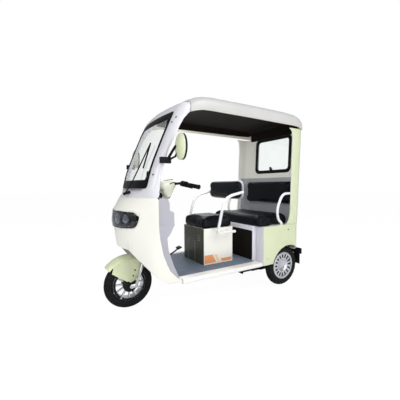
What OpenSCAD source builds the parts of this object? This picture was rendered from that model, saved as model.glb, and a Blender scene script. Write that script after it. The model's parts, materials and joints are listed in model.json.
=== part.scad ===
/* [Running gear] */
// Distance from the front axle to the rear axle
wheelbase = 1506; // [1400:1:1650]
// Outside radius of every tyre
tyre_r = 205; // [195:1:215]
// Width of a tyre across its side walls
tyre_w = 82; // [70:1:90]
// Outside radius of a wheel rim's flange
rim_r = 138; // [130:1:142]
// Distance between the middles of the two rear tyres
rear_track = 636; // [600:1:660]
// Lean of the steering axis back from upright, in degrees
rake = 19; // [14:1:24]
// Distance of the steering axis behind the front axle, at axle height
fork_lead = 51; // [40:1:60]
// Half the distance between the fork legs
fork_half = 95; // [85:1:110]
// Radius of the front axle
front_axle_r = 7; // [5:0.5:10]
// Radius of a rear half shaft
rear_shaft_r = 12; // [10:0.5:16]
// Radius of the steering stem
stem_r = 16; // [12:0.5:20]
// Radial clearance of a shaft that turns
run_gap = 0.05; // [0.02:0.01:0.1]

/* [Body] */
// Half the width of the body over its pillars
body_half = 420; // [400:1:450]
// Length of the body behind the rear axle, to the rear bumper
rear_overhang = 240; // [200:1:280]
// Top of the floor above the ground
floor_z = 300; // [270:1:330]
// Level of the seam between the lower and upper rear body
waist_z = 640; // [600:1:680]
// Level of the seam between the nose and the windscreen frame
nose_top_z = 942; // [900:1:980]
// Lower edge of the roof at its sides
roof_low_z = 1628; // [1580:1:1680]
// Height of the roof above that edge, at its middle
roof_rise = 137; // [100:1:160]
// Thickness of a moulded body wall
wall = 14; // [8:1:20]
// Radius of the rear wheel arch
arch_r = 226; // [220:1:240]

/* [Seats] */
// Width of the driver's seat box
box_w = 392; // [340:1:420]
// Length of the driver's seat box, front to back
box_l = 335; // [300:1:380]
// Height of the driver's seat box
box_h = 338; // [300:1:360]
// Distance of the seat box's rear face in front of the rear axle
box_rear = 536; // [520:1:600]
// Thickness of the driver's cushion
cushion_h = 108; // [80:1:130]
// Width of the passenger bench cushion
bench_w = 800; // [700:1:810]
// Thickness of the bench cushion
bench_h = 105; // [80:1:120]

/* [Windscreen] */
// Half the width of the windscreen over its black border
screen_half = 335; // [310:1:345]
// Lower edge of the windscreen border
screen_low_z = 1012; // [990:1:1030]
// Upper edge of the windscreen border
screen_top_z = 1612; // [1580:1:1620]
// Thickness of the glass
glass_t = 5; // [4:0.5:8]

/* [Hidden] */
$fn = 48;

// Lengthways places are counted from the rear axle, forwards is minus; the whole is then centred.
centre_shift = (wheelbase + tyre_r - rear_overhang) / 2;
module placed() translate([0, centre_shift, 0]) children();

// General shapes

// Skins a row of walls into one solid. Each wall is a closed ring: its outer line, then its inner
// line back again. The ring runs anticlockwise for someone whom the row comes towards.
module loft(rings) {
    n = len(rings[0]);
    last = len(rings) - 1;
    sides = [for (i = [0:last - 1], j = [0:n - 1])
        let (a = i * n, b = a + n, k = (j + 1) % n)
        each [[a + j, b + k, a + k], [a + j, b + j, b + k]]];
    ends = [for (j = [0:n / 2 - 2])
        let (a = last * n, k = n - 1 - j)
        each [[j, j + 1, k - 1], [j, k - 1, k], [a + j, a + k - 1, a + j + 1], [a + j, a + k, a + k - 1]]];
    polyhedron(points = [for (r = rings) each r], faces = concat(sides, ends), convexity = 8);
}

// Unit normal, to the left of the way along, at point i of an open line.
function side_dir(line, i) =
    let (a = line[max(i - 1, 0)], b = line[min(i + 1, len(line) - 1)], d = b - a)
    [-d.y, d.x] / norm(d);

// The line moved sideways, to the left of its way along, by the distance given.
function shifted(line, by) = [for (i = [0:len(line) - 1]) line[i] + by * side_dir(line, i)];

// A wall as a closed outline: the line moved by near, then back along the line moved by far.
function walled(line, near, far) =
    concat(shifted(line, near), [for (i = [len(line) - 1:-1:0]) shifted(line, far)[i]]);

module rod(a, b, r) {
    d = b - a;
    translate(a)
        rotate([0, acos(d.z / norm(d)), atan2(d.y, d.x)])
            cylinder(h = norm(d), r = r);
}

// A bent tube: straight stretches with a ball at each bend, a hair larger so that it blends.
module bent_tube(points, r, ball = 0.4) {
    for (i = [0:len(points) - 2]) rod(points[i], points[i + 1], r);
    for (i = [1:len(points) - 2]) translate(points[i]) sphere(r = r + ball);
}

// A block with rounded upright edges, centred on x and y, its foot at z = 0.
module round_block(w, l, h, r) {
    linear_extrude(h) round_rect(w, l, r);
}

module round_rect(w, l, r) {
    square([w - 2 * r, l], center = true);
    square([w, l - 2 * r], center = true);
    for (x = [-1, 1], y = [-1, 1]) translate([x * (w / 2 - r), y * (l / 2 - r)]) circle(r);
}

// Turns a flat outline of [y, z] into a slab across the vehicle from x0 to x1.
module across(x0, x1) {
    translate([x0, 0, 0]) rotate([90, 0, 90]) linear_extrude(x1 - x0) children();
}

// Turns a flat outline of [x, z] into a slab lengthways from y0 to y1.
module lengthways(y0, y1) {
    translate([0, y1, 0]) rotate([90, 0, 0]) linear_extrude(y1 - y0) children();
}

module both_sides() {
    children();
    mirror([1, 0, 0]) children();
}

// Steering geometry

front_y = -wheelbase;
axis_foot = [0, front_y + fork_lead, tyre_r];
axis_dir = [0, sin(rake), cos(rake)];
// A place s along the steering axis above axle height, moved ahead of it by the distance given.
function on_axis(s, ahead = 0) =
    axis_foot + s * axis_dir + ahead * [0, -cos(rake), sin(rake)];

head_low = 430;
head_high = 590;
head_wall = 12;
leg_ahead = 15;
crown_s = 345;
crown_h = 34;
stem_top = 830;

// Gap between two pieces that lie against each other
seat_gap = 0.3;

// Wheels

rim_half = 33;
hub_half = 38;

module tyre(x) {
    translate([x, 0, tyre_r]) rotate([0, 90, 0]) rotate_extrude($fn = 96) difference() {
        intersection() {
            union() {
                translate([tyre_r - tyre_w / 2, 0]) circle(tyre_w / 2);
                translate([rim_r - 10, -tyre_w / 2 + 7]) square([tyre_r - rim_r - 12, tyre_w - 14]);
            }
            translate([rim_r - 10, -tyre_w]) square([tyre_r - rim_r + 10, 2 * tyre_w]);
        }
        translate([0, -rim_half - seat_gap]) square([rim_r + seat_gap, 2 * (rim_half + seat_gap)]);
    }
}

// The rim's outer ring, its profile given as radius and place across.
module rim_ring() {
    rotate_extrude($fn = 96) {
        for (s = [-1, 1]) translate([rim_r - 22, s > 0 ? rim_half - 4 : -rim_half]) square([22, 4]);
        translate([rim_r - 22, -rim_half]) square([5, 2 * rim_half]);
    }
}

spoke_count = 12;
spoke_w = 11;
front_hub_r = 54;

module front_rim() color("silver") translate([0, front_y, tyre_r]) rotate([0, 90, 0]) difference() {
    union() {
        rim_ring();
        cylinder(h = 2 * hub_half, r = front_hub_r, center = true);
        for (i = [0:spoke_count - 1])
            rotate(i * 360 / spoke_count)
                translate([front_hub_r - 4, -spoke_w / 2, -9])
                    cube([rim_r - 19 - front_hub_r + 4, spoke_w, 26]);
    }
    cylinder(h = 4 * hub_half, r = front_axle_r + run_gap, center = true);
}

module front_tyre() color("#1b1b1d") translate([0, front_y, 0]) tyre(0);

// Rear wheel: rim ring, slotted cover and the brake drum behind it. s is 1 on the left.
slot_count = 16;
cover_x = 26;
drum_r = 74;

module rear_rim(s) {
    color("silver") translate([s * rear_track / 2, 0, tyre_r]) rotate([0, s * 90, 0]) difference() {
        union() {
            rim_ring();
            difference() {
                rotate_extrude($fn = 96) polygon([
                    [0, cover_x - 12], [48, cover_x - 12], [64, cover_x], [rim_r - 20, cover_x - 4],
                    [rim_r - 20, cover_x - 9], [66, cover_x - 5], [50, cover_x - 18], [0, cover_x - 18]]);
                for (i = [0:slot_count - 1])
                    rotate(i * 360 / slot_count)
                        translate([78, -7, cover_x - 30])
                            cube([26, 14, 60]);
            }
            translate([0, 0, -58]) cylinder(h = 40, r = drum_r);
            translate([0, 0, -20]) cylinder(h = cover_x - 14 + 20, r = 34);
        }
        translate([0, 0, -100]) cylinder(h = 100 + cover_x - 22, r = rear_shaft_r + run_gap);
    }
}

module rear_tyre(s) color("#1b1b1d") tyre(s * rear_track / 2);

// Front fork, mudguard and brake

module fork() color("#202022") {
    difference() {
        union() {
            rod(on_axis(crown_s + 8), on_axis(stem_top), stem_r);
            rod(on_axis(crown_s), on_axis(crown_s + crown_h), 30);
            for (s = [-1, 1])
                rod(
                    on_axis(crown_s + crown_h / 2),
                    on_axis(crown_s + crown_h / 2, leg_ahead) + [s * fork_half, 0, 0], 15);
        }
    }
    for (s = [-1, 1]) translate([s * fork_half, 0, 0])
        rod(on_axis(190, leg_ahead), on_axis(crown_s + crown_h, leg_ahead), 19);
}

axle_lug_t = 12;

module fork_sliders() color("#c9cacc") {
    for (s = [-1, 1]) translate([s * fork_half, 0, 0]) {
        rod(on_axis(-18, leg_ahead), on_axis(189.7, leg_ahead), 12);
        hull() {
            translate([0, front_y, tyre_r]) rotate([0, 90, 0])
                cylinder(h = axle_lug_t, r = 17, center = true);
            translate(on_axis(0, leg_ahead)) rotate([0, 90, 0])
                cylinder(h = axle_lug_t, r = 15, center = true);
        }
    }
    translate([0, front_y, tyre_r]) rotate([0, 90, 0]) {
        cylinder(h = 2 * fork_half + 34, r = front_axle_r, center = true);
        for (s = [-1, 1]) translate([0, 0, s * (fork_half + 11)])
            cylinder(h = 8, r = 12, center = true, $fn = 6);
    }
}

// Brake plate on the left of the front hub, with its lever.
module front_brake() color("#26272a") translate([0, front_y, tyre_r]) rotate([0, 90, 0]) difference() {
    union() {
        translate([0, 0, hub_half + 3]) cylinder(h = 9, r = 60);
        translate([0, 0, hub_half + 12]) cylinder(h = 10, r = 26);
        translate([20, 18, hub_half + 12]) cylinder(h = 12, r = 9);
        translate([20, 13, hub_half + 18]) cube([46, 10, 5]);
    }
    cylinder(h = 400, r = front_axle_r + 0.4, center = true);
}

guard_r = 252;
guard_half = 66;
guard_t = 4;
guard_front = 50;
guard_rear = 50;

module front_mudguard() color("#dfe6c0") {
    translate([0, front_y, tyre_r]) rotate([0, -90, 0]) rotate([0, 0, -guard_rear])
        rotate_extrude(angle = guard_front + guard_rear, $fn = 96) difference() {
            intersection() {
                translate([guard_r - 90, 0]) circle(90);
                translate([guard_r - 34, -guard_half]) square([60, 2 * guard_half]);
            }
            intersection() {
                translate([guard_r - 90, 0]) circle(90 - guard_t);
                translate([guard_r - 60, -guard_half + guard_t]) square([90, 2 * guard_half - 2 * guard_t]);
            }
        }
    both_sides() across(guard_half - guard_t + 0.5, guard_half - 0.5) translate([front_y, tyre_r]) {
        intersection() {
            circle(guard_r - 31);
            polygon([[-150, 120], [-30, 36], [36, 36], [72, 70], [100, 150], [60, 230], [-120, 230]]);
        }
        difference() {
            translate([4, 46]) circle(22);
            translate([-40, 50]) square([80, 40]);
        }
    }
    both_sides() for (s = [96, 128])
        rod(
            [guard_half - 2, 0, 0] + on_axis(s, leg_ahead),
            [fork_half - 12 - seat_gap, 0, 0] + on_axis(s, leg_ahead), 7);
}

// Handlebar and controls

bar_r = 11;
grip_end = [322, -1001, 1022];
grip_start = [196, -1042, 1043];
grip_way = (grip_end - grip_start) / norm(grip_end - grip_start);
switch_l = 58;
bar_bend = grip_start - (switch_l + 14) * grip_way;
bar_points = [on_axis(850), [66, -1112, 1048], bar_bend, grip_end];

module handlebar() color("#1d1d1f") difference() {
    union() {
        both_sides() bent_tube(bar_points, bar_r);
        rod(on_axis(826), on_axis(876), 24);
    }
    rod(on_axis(700), on_axis(stem_top) + seat_gap * axis_dir, stem_r + seat_gap);
}

module controls() color("#161618") both_sides() {
    switch_start = grip_start - switch_l * grip_way;
    difference() {
        union() {
            rod(grip_start, grip_end + 6 * grip_way, 17);
            rod(grip_end, grip_end + 10 * grip_way, 20);
            rod(switch_start, grip_start, 25);
        }
        rod(switch_start - 5 * grip_way, grip_end + seat_gap * grip_way, bar_r + seat_gap);
    }
    lever_root = switch_start + 30 * grip_way + [0, -20, 0];
    bent_tube([lever_root, grip_start + [0, -60, -6], grip_end + [0, -56, -10]], 5);
}

pod_half = 92;

module instrument_pod() color("#e9ebd2") difference() {
    hull() for (x = [-1, 1]) {
        translate([x * (pod_half - 40), -1195, 1030]) sphere(r = 40, $fn = 32);
        translate([x * (pod_half - 40), -1118, 1046]) sphere(r = 40, $fn = 32);
        translate([x * (pod_half - 46), -1172, 975]) sphere(r = 34, $fn = 32);
    }
    hull() for (x = [-1, 1]) {
        translate([x * (pod_half - 40), -1195, 1030]) sphere(r = 36, $fn = 32);
        translate([x * (pod_half - 40), -1118, 1046]) sphere(r = 36, $fn = 32);
        translate([x * (pod_half - 46), -1172, 900]) sphere(r = 30, $fn = 32);
    }
    both_sides() rod(bar_points[1], bar_bend, bar_r + seat_gap);
}

// Front skin: one row per level, nose to roof.
// Columns: level, nose on the middle line, skin at the windscreen's edge, half width, doorway edge.
skin = [
    [ 285, -1545, -1440, 408, -1190],
    [ 339, -1556, -1446, 408, -1258],
    [ 385, -1566, -1449, 408, -1300],
    [ 436, -1574, -1451, 408, -1324],
    [ 517, -1584, -1452, 407, -1355],
    [ 632, -1601, -1453, 406, -1378],
    [ 708, -1611, -1453, 405, -1386],
    [ 770, -1614, -1453, 405, -1388],
    [ 850, -1603, -1453, 405, -1388],
    [ 900, -1576, -1454, 406, -1388],
    [ 942, -1545, -1456, 407, -1387],
    [ 975, -1508, -1456, 409, -1384],
    [1010, -1480, -1452, 411, -1380],
    [1080, -1460, -1435, 413, -1371],
    [1150, -1440, -1416, 415, -1356],
    [1230, -1410, -1387, 416, -1331],
    [1302, -1380, -1357, 417, -1306],
    [1390, -1344, -1320, 418, -1263],
    [1481, -1304, -1280, 418, -1216],
    [1545, -1275, -1251, 418, -1178],
    [1600, -1248, -1223, 418, -1125],
    [1640, -1226, -1201, 416, -1120],
    [1672, -1205, -1181, 404, -1120]];
skin_steps = 9;
corner_steps = 6;

// Half of one level's line, from the middle to the doorway.
function skin_half(row) = let (
        slope = 2 * (row[2] - row[1]) / screen_half,
        start = [screen_half, row[2]],
        turn = [row[3], min(row[2] + slope * (row[3] - screen_half), row[4] - 8)],
        end = [row[3], row[4]])
    concat(
        [for (i = [0:skin_steps]) let (u = i / skin_steps)
            [u * screen_half, row[1] + (row[2] - row[1]) * u * u]],
        [for (i = [1:corner_steps]) let (u = i / corner_steps)
            (1 - u) * (1 - u) * start + 2 * u * (1 - u) * turn + u * u * end]);

// A whole level's line, from the right doorway round the nose to the left one.
function skin_line(row) = let (h = skin_half(row), n = len(h))
    concat([for (i = [n - 1:-1:1]) [-h[i].x, h[i].y]], h);

// A layer of the front skin between two depths below its surface.
module skin_layer(rows, near, far)
    loft([for (row = rows) [for (p = walled(skin_line(row), near, far)) [p.x, p.y, row[0]]]]);

nose_rows = [for (row = skin) if (row[0] <= nose_top_z) row];
frame_rows = [for (row = skin) if (row[0] >= nose_top_z) row];

module fairing() color("#f4f1e2") difference() {
    skin_layer(nose_rows, 0, wall);
    // The mouth for the front wheel, which rises from the sill to the nose.
    across(-500, 500) polygon([
        [-1800, 556], [-1548, 530], [-1493, 455], [-1400, 345], [-1345, 302], [-1285, 280],
        [-1285, 200], [-1800, 200]]);
    headlamp_window(1);
}

// The headlamp's outline seen from the front.
lamp_half = 282;

module lamp_outline(grow) {
    offset_half = lamp_half + grow;
    intersection() {
        translate([-offset_half, 690 - grow]) square([2 * offset_half, 175 + 2 * grow]);
        translate([0, 1720]) circle(1020 + grow);
        translate([0, 150]) circle(710 + grow);
        union() {
            square([2 * offset_half - 90, 4000], center = true);
            for (s = [-1, 1]) translate([s * (offset_half - 45), 790]) circle(45);
        }
    }
}

module headlamp_window(grow) lengthways(-1700, -1440) lamp_outline(grow);

module headlamp() color("#2a2c30") intersection() {
    skin_layer(nose_rows, -3, wall + 20);
    headlamp_window(0);
}

module wheel_house() color("#18181a") across(-300, 300) translate([front_y, tyre_r]) {
    difference() {
        intersection() {
            circle(292);
            polygon([[0, 0], [150, 195], [400, 195], [400, 105], [280, 105]]);
        }
        circle(287);
    }
    // The lip that rests against the leg shield.
    translate([268, 105]) square([15, 6]);
}

// Windscreen

module screen_outline(side, low, high, r) {
    w = 2 * (screen_half - side);
    h = screen_top_z - screen_low_z - low - high;
    translate([0, screen_low_z + low + h / 2]) round_rect(w, h, r);
}

module windscreen_frame() color("#d9dade") difference() {
    skin_layer(frame_rows, 0, wall + 6);
    lengthways(-1700, -1150) screen_outline(0, 0, 0, 30);
}

module windscreen_border() color("#141416") difference() {
    intersection() {
        skin_layer(frame_rows, -2, 12);
        lengthways(-1700, -1150) screen_outline(0.5, 0.5, 0.5, 30);
    }
    lengthways(-1700, -1150) screen_outline(27, 66, 60, 45);
}

module windscreen() color([0.8, 0.88, 0.9, 0.35]) intersection() {
    skin_layer(frame_rows, 2, 2 + glass_t);
    lengthways(-1700, -1150) screen_outline(27.3, 66.3, 60.3, 45);
}

module wiper() color("#17171a") {
    rod([96, -1560, 968], [96, -1508, 985], 12);
    bent_tube([[96, -1548, 972], [120, -1497, 1060], [196, -1366, 1368]], 5);
    rod([196, -1364, 1372], [206, -1432, 1170], 6);
}

// Roof: one row per place lengthways.
// Columns: place, top on the middle line, half width, lower edge.
roof_top_z = roof_low_z + roof_rise;
roof_rows = [
    [-1117.2, roof_top_z - 46, 418, roof_low_z - 26],
    [-1070, roof_top_z - 24, 426, roof_low_z - 12],
    [-1010, roof_top_z - 9, 432, roof_low_z],
    [ -930, roof_top_z - 2, 436, roof_low_z + 2],
    [ -560, roof_top_z, 438, roof_low_z],
    [ -100, roof_top_z - 2, 436, roof_low_z - 4],
    [   60, roof_top_z - 10, 434, roof_low_z - 6],
    [  130, roof_top_z - 24, 428, roof_low_z - 10],
    [  180, roof_top_z - 46, 414, roof_low_z - 16],
    [  214, roof_top_z - 80, 392, roof_low_z - 22],
    [  228, roof_top_z - 118, 372, roof_low_z - 25]];
shoulder = 64;
shoulder_steps = 6;
crown_steps = 4;

// One roof section, from the right edge over the crown to the left edge.
function roof_half(row) = let (
        top = row[1], half = row[2], low = row[3],
        r = min(shoulder, (top - low) * 0.75),
        drop = min(16, (top - low) * 0.2))
    concat(
        [[half, low]],
        [for (i = [0:shoulder_steps]) let (a = 90 * i / shoulder_steps)
            [half - r + r * cos(a), top - drop - r + r * sin(a)]],
        [for (i = [1:crown_steps]) let (u = 1 - i / crown_steps)
            [(half - r) * u, top - drop * u * u]]);
function roof_line(row) = let (h = roof_half(row), n = len(h))
    concat(h, [for (i = [n - 2:-1:0]) [-h[i].x, h[i].y]]);

module roof_layer(rows, near, far)
    loft([for (i = [len(rows) - 1:-1:0])
        [for (p = walled(roof_line(rows[i]), near, far)) [p.x, rows[i][0], p.y]]]);

module roof() color("#e4e4e6") roof_layer(roof_rows, 0, wall + 8);

liner_t = 8;

module roof_liner() color("#1d1a18") intersection() {
    roof_layer(
        [for (row = roof_rows) if (row[0] > -1100 && row[0] < 200) row], wall + 8.3, wall + 8.3 + liner_t);
    translate([-450, -1200, roof_low_z + 20]) cube([900, 1500, 300]);
}

// Rear body: the pillars and the back wall stand on the quarter panels.
rear_low = 176;
rear_lean = 2.45;
function rear_face(z) = rear_low + (z - waist_z) * tan(rear_lean);
// Columns: level, half width, front edge of the pillar.
rear_rows = [
    [waist_z + seat_gap, body_half, 16],
    [880, body_half, 22],
    [1290, body_half, 36],
    [1480, body_half, 44],
    [1570, body_half - 2, 34],
    [1600, body_half - 6, 2]];
rear_corner = 90;
rear_steps = 7;

function rear_half(row) = let (y = rear_face(row[0]), half = row[1], r = rear_corner)
    concat(
        [[half, row[2]]],
        [for (i = [0:rear_steps]) let (a = 90 * i / rear_steps)
            [half - r + r * cos(a), y - r + r * sin(a)]]);
function rear_line(row) = let (h = rear_half(row), n = len(h))
    concat(h, [for (i = [n - 1:-1:0]) [-h[i].x, h[i].y]]);

module rear_layer(rows, near, far)
    loft([for (row = rows) [for (p = walled(rear_line(row), near, far)) [p.x, p.y, row[0]]]]);

rear_window_half = 255;
rear_window_low = 1190;
rear_window_high = 1572;
window_mid = (rear_window_low + rear_window_high) / 2;

// A slab in the plane of the back wall, from one depth below its outer face to another.
module in_back_wall(mid, near, far) {
    translate([0, rear_face(mid), mid]) rotate([-rear_lean, 0, 0]) lengthways(-far, -near) children();
}

module rear_window_outline(inset, r)
    round_rect(2 * (rear_window_half - inset), rear_window_high - rear_window_low - 2 * inset, r);

module rear_shell() color("#efeee0") difference() {
    rear_layer(rear_rows, 0, wall);
    in_back_wall(window_mid, -30, 60) rear_window_outline(0, 50);
}

module rear_window_seal() color("#141414") in_back_wall(window_mid, -5, wall + 5) difference() {
    rear_window_outline(seat_gap, 50);
    rear_window_outline(20, 34);
}

module rear_window() color([0.8, 0.88, 0.9, 0.35])
    in_back_wall(window_mid, 4, 4 + glass_t) rear_window_outline(20 + seat_gap, 34);

// The lining of the back wall, from the seat up to the seam below the window.
trim_t = 6;
trim_low = waist_z + 4;
trim_high = 1120;
trim_front = 62;

module rear_trim() color("#a9acb2") rear_layer(
    [[trim_low, body_half, trim_front], [trim_high, body_half, trim_front]],
    wall + seat_gap, wall + seat_gap + trim_t);

module rear_body() color("#e3ead0") difference() {
    translate([0, 0, floor_z - 30]) linear_extrude(waist_z - floor_z + 30) difference() {
        body_plan(0, -345);
        body_plan(wall, -345 + wall);
        translate([-312, -400]) square([624, 100]);
    }
    translate([-500, 0, tyre_r]) rotate([0, 90, 0]) cylinder(h = 1000, r = arch_r, $fn = 96);
    translate([-500, 0, 0]) cube([1000, 400, 340]);
    // The front edge sits below the bench cushion.
    translate([-body_half + wall, -346, waist_z - 3]) cube([2 * (body_half - wall), 16, 10]);
}

// The lower body's rear face
tail_y = 170;

// The rear body's outline from above, drawn in by an inset.
module body_plan(inset, front) {
    half = body_half - inset;
    r = rear_corner - inset;
    rear = tail_y - inset;
    difference() {
        translate([-half, front]) square([2 * half, rear - front]);
        for (s = [-1, 1]) translate([s * half, rear]) difference() {
            square(2 * r, center = true);
            translate([-s * r, -r]) circle(r);
        }
    }
}

bumper_half = 390;
bumper_leg = 230;
bumper_leg_w = 32;
bumper_t = 13;
bumper_y = tail_y + seat_gap;

module rear_bumper() color("#1c1c1e") difference() {
    translate([0, 0, 300]) linear_extrude(60) {
        translate([-bumper_half, rear_overhang - bumper_t]) square([2 * bumper_half, bumper_t]);
        for (s = [-1, 1])
            translate([s * (bumper_leg + bumper_leg_w / 2) - bumper_leg_w / 2, bumper_y])
                square([bumper_leg_w, rear_overhang - bumper_y - 1]);
    }
    for (x = [-1, 1]) translate([x * 100, 0, 330]) rotate([-90, 0, 0]) cylinder(h = 400, r = 5.5);
}

module tail_lamps() color("#a01818") both_sides()
    translate([290, tail_y + seat_gap, 500]) rotate([-90, 0, 0]) linear_extrude(16) round_rect(70, 130, 18);

module mud_flaps() color("#151517") both_sides()
    translate([290, 228, 190]) cube([80, 6, 110 - seat_gap]);

// Bench: a hollow base with a deck over the wheels.
bench_front = -385;
deck_t = 14;

// The box below the bench stands in from the sides by bench_gap.
bench_gap = 109;
bench_half = body_half - bench_gap;
panel_t = 12;

module bench_base() color("#c3c6ca") {
    difference() {
        translate([-bench_half, bench_front, floor_z + seat_gap])
            cube([2 * bench_half, 150, waist_z - floor_z - 3 - seat_gap]);
        translate([panel_t - bench_half, bench_front + panel_t, floor_z])
            cube([2 * (bench_half - panel_t), 200, waist_z]);
    }
    translate([0, 0, waist_z - 3 - deck_t]) linear_extrude(deck_t) body_plan(wall + 4, -345 + wall + 3);
    translate([-bench_half, bench_front, waist_z - 3 - deck_t]) cube([2 * bench_half, 100, deck_t]);
}

bench_rear = 75;
bench_step = -190;
// The cushions' rear half fits between the side walls with neck_gap on each side.
neck_gap = 60;
bench_neck = body_half - neck_gap;

module bench_cushion() color("#17191d") translate([0, 0, waist_z - 3 + seat_gap]) linear_extrude(bench_h) {
    translate([0, (bench_front + bench_step) / 2]) round_rect(bench_w, bench_step - bench_front, 45);
    translate([0, (bench_front + bench_rear + 60) / 2])
        round_rect(2 * bench_neck, bench_rear - bench_front - 60, 40);
}

backrest_mid = 950;
// It stands off far enough to clear the rounded corners of the lining.
backrest_in = wall + trim_t + 2 * seat_gap + 7;

module bench_backrest() color("#17191d")
    in_back_wall(backrest_mid, backrest_in, backrest_in + 72) round_rect(2 * bench_neck, 270, 60);

arm_r = 13;

rear_arm_x = body_half - wall - arm_r - seat_gap;

module rear_armrests() color("#f2f2f2") both_sides() translate([rear_arm_x, 0, 0])
    bent_tube([
        [0, 60, 950], [0, -75, 950], [0, -150, 790], [0, -128, 690], [0, -85, 664],
        [0, -85, waist_z - 3 + seat_gap]], arm_r);

// Driver's seat
box_front = -box_rear - box_l;
box_mid = -box_rear - box_l / 2;
box_t = 8;

module seat_box() color("#edeadb") translate([0, box_mid, floor_z + 0.3]) difference() {
    round_block(box_w, box_l, box_h, 14);
    translate([0, 0, box_t]) round_block(box_w - 2 * box_t, box_l - 2 * box_t, box_h, 8);
}

module driver_cushion() color("#17191d")
    translate([0, box_mid, floor_z + box_h + 1]) round_block(box_w + 4, box_l + 10, cushion_h, 30);

arm_x = box_w / 2 + 80;

module driver_armrests() color("#f2f2f2") both_sides() {
    translate([arm_x, 0, 0])
        bent_tube([
            [0, -575, 604], [0, -742, 604], [0, -762, 613], [0, -766, 634], [0, -724, 808],
            [0, -702, 870], [0, -664, 918], [0, -616, 940], [0, -478, 970]], arm_r);
    for (y = [-722, -610])
        translate([box_w / 2 + seat_gap, y - 11, 598]) cube([arm_x - 4 - box_w / 2 - seat_gap, 22, 9]);
}

back_half = arm_x - arm_r - seat_gap;

module driver_backrest() color("#17191d")
    lengthways(-535, -465) translate([0, 990]) round_rect(2 * back_half, 190, 55);

// Floor, mat and leg shield
sill_r = 16;
floor_front = skin[0][4] + seat_gap;
floor_rear = -346;

module floor() color("#f1efe6") difference() {
    union() {
        lengthways(floor_front, floor_rear) {
            translate([-394, floor_z - 20]) square([788, 20]);
            for (s = [-1, 1]) translate([s * 392, floor_z - 20]) round_rect(36, 40, sill_r);
        }
        translate([-372, floor_front - 40, floor_z - 20]) cube([744, 41, 20]);
    }
    neck(neck_r + 2);
}

mat_t = 4;
mat_front = -1204;

module floor_mat() color("#6d7785") difference() {
    translate([-330, mat_front, floor_z]) cube([660, bench_front - 3 - mat_front, mat_t]);
    translate([0, box_mid, floor_z - 1]) round_block(box_w + 4, box_l + 4, 20, 16);
    translate([-neck_r - 2, mat_front - 1, floor_z - 1]) cube([2 * neck_r + 4, 75, 20]);
}

module leg_shield() color("#c6c8cd") difference() {
    across(-378, 378) polygon([
        [-1368, 930], [-1300, 934], [-1286, 900], [-1286, 846], [-1250, 826], [-1246, 730], [-1282, 662],
        [-1308, 634], [-1298, 540], [-1259, 420], [-1205, floor_z + seat_gap], [-1215, floor_z + seat_gap],
        [-1272, 420], [-1314, 540], [-1324, 634], [-1296, 672], [-1262, 730], [-1264, 816], [-1300, 838],
        [-1300, 896], [-1310, 920], [-1368, 920]]);
    // Room for the fork to swing, and above it for the steering column.
    translate([-125, -1500, 330]) cube([250, 400, 320]);
    translate([-60, -1500, 600]) cube([120, 400, 500]);
}

// Wheels and what carries them
rail_x = 225;
rail_w = 40;
rail_low = 240;
rail_high = floor_z - 20 - seat_gap;
spring_w = 40;

// The neck rises from the front cross member to the steering head.
neck_r = 26;
module neck(r) rod([0, -1158, 258], on_axis(head_low + 30) + [0, 22, 0], r);

module chassis() color("#222326") difference() {
    union() {
        for (s = [-1, 1]) translate([s * rail_x - rail_w / 2, -1180, rail_low])
            cube([rail_w, 1180 + 165, rail_high - rail_low]);
        for (y = [-1180, -840, -470, -320, -180, 125]) translate([-rail_x, y, rail_low])
            cube([2 * rail_x, 40, rail_high - rail_low]);
        neck(neck_r);
        rod(on_axis(head_low), on_axis(head_high), stem_r + head_wall);
        // Spring hangers
        for (s = [-1, 1], y = [-462, 150]) translate([s * rail_x, y, 182]) rotate([0, 90, 0]) hull() {
            cylinder(h = 52, r = 15, center = true);
            translate([-64, 0, 0]) cube([2, 30, 52], center = true);
        }
        translate([-150, 158, 236]) cube([300, 8, 44]);
    }
    rod(on_axis(head_low - 50), on_axis(head_high + 50), stem_r + run_gap);
    for (s = [-1, 1], y = [-462, 150]) translate([s * rail_x, y, 160])
        cube([spring_w + 2 * seat_gap, 60, 84], center = true);
}

module leaf_springs() color("#1a1a1c") for (s = [-1, 1]) {
    translate([s * rail_x - spring_w / 2, 0, 0]) rotate([90, 0, 90]) linear_extrude(spring_w) {
        translate([-462, 178]) square([612, 6]);
        translate([-330, 171.7]) square([420, 6.6]);
        translate([-220, 165]) square([300, 7]);
    }
    for (y = [-462, 150]) translate([s * rail_x, y, 182]) rotate([0, 90, 0])
        cylinder(h = spring_w, r = 13, center = true);
}

module rear_axle() color("#2a2b2e") {
    translate([0, 0, tyre_r]) rotate([0, 90, 0]) {
        cylinder(h = 2 * 250, r = 20, center = true);
        cylinder(h = rear_track + 2 * (cover_x - 26), r = rear_shaft_r, center = true);
        translate([0, 0, -70]) cylinder(h = 190, r = 82);
        translate([0, 0, -95]) cylinder(h = 30, r = 62);
    }
    for (s = [-1, 1]) translate([s * rail_x - 20, -30, 184.3]) cube([40, 60, 12]);
}

module battery() color("#33363a")
    translate([-195, floor_rear + 2, rail_high + seat_gap]) cube([390, 230, 240]);

module brake_pedal() color("#1a1a1c") {
    bent_tube([[-80, -1190, floor_z + mat_t + 6.4], [-80, -1080, 372], [-80, -985, 424]], 7);
    translate([-110, -1004, 416]) rotate([20, 0, 0]) cube([60, 40, 14]);
}

// Mirrors on the front pillars
module mirrors() both_sides() {
    color("#161618") {
        translate([416.6, -1382, 1196]) cube([30, 80, 44]);
        bent_tube([[436, -1318, 1220], [500, -1296, 1240], [520, -1275, 1290]], 7);
    }
    color("#dfe8c2") translate([520, -1262, 1312]) rotate([0, 90, 90]) difference() {
        scale([1, 0.68, 0.36]) sphere(r = 96, $fn = 48);
        translate([-200, -200, 8]) cube([400, 400, 200]);
    }
}

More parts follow.
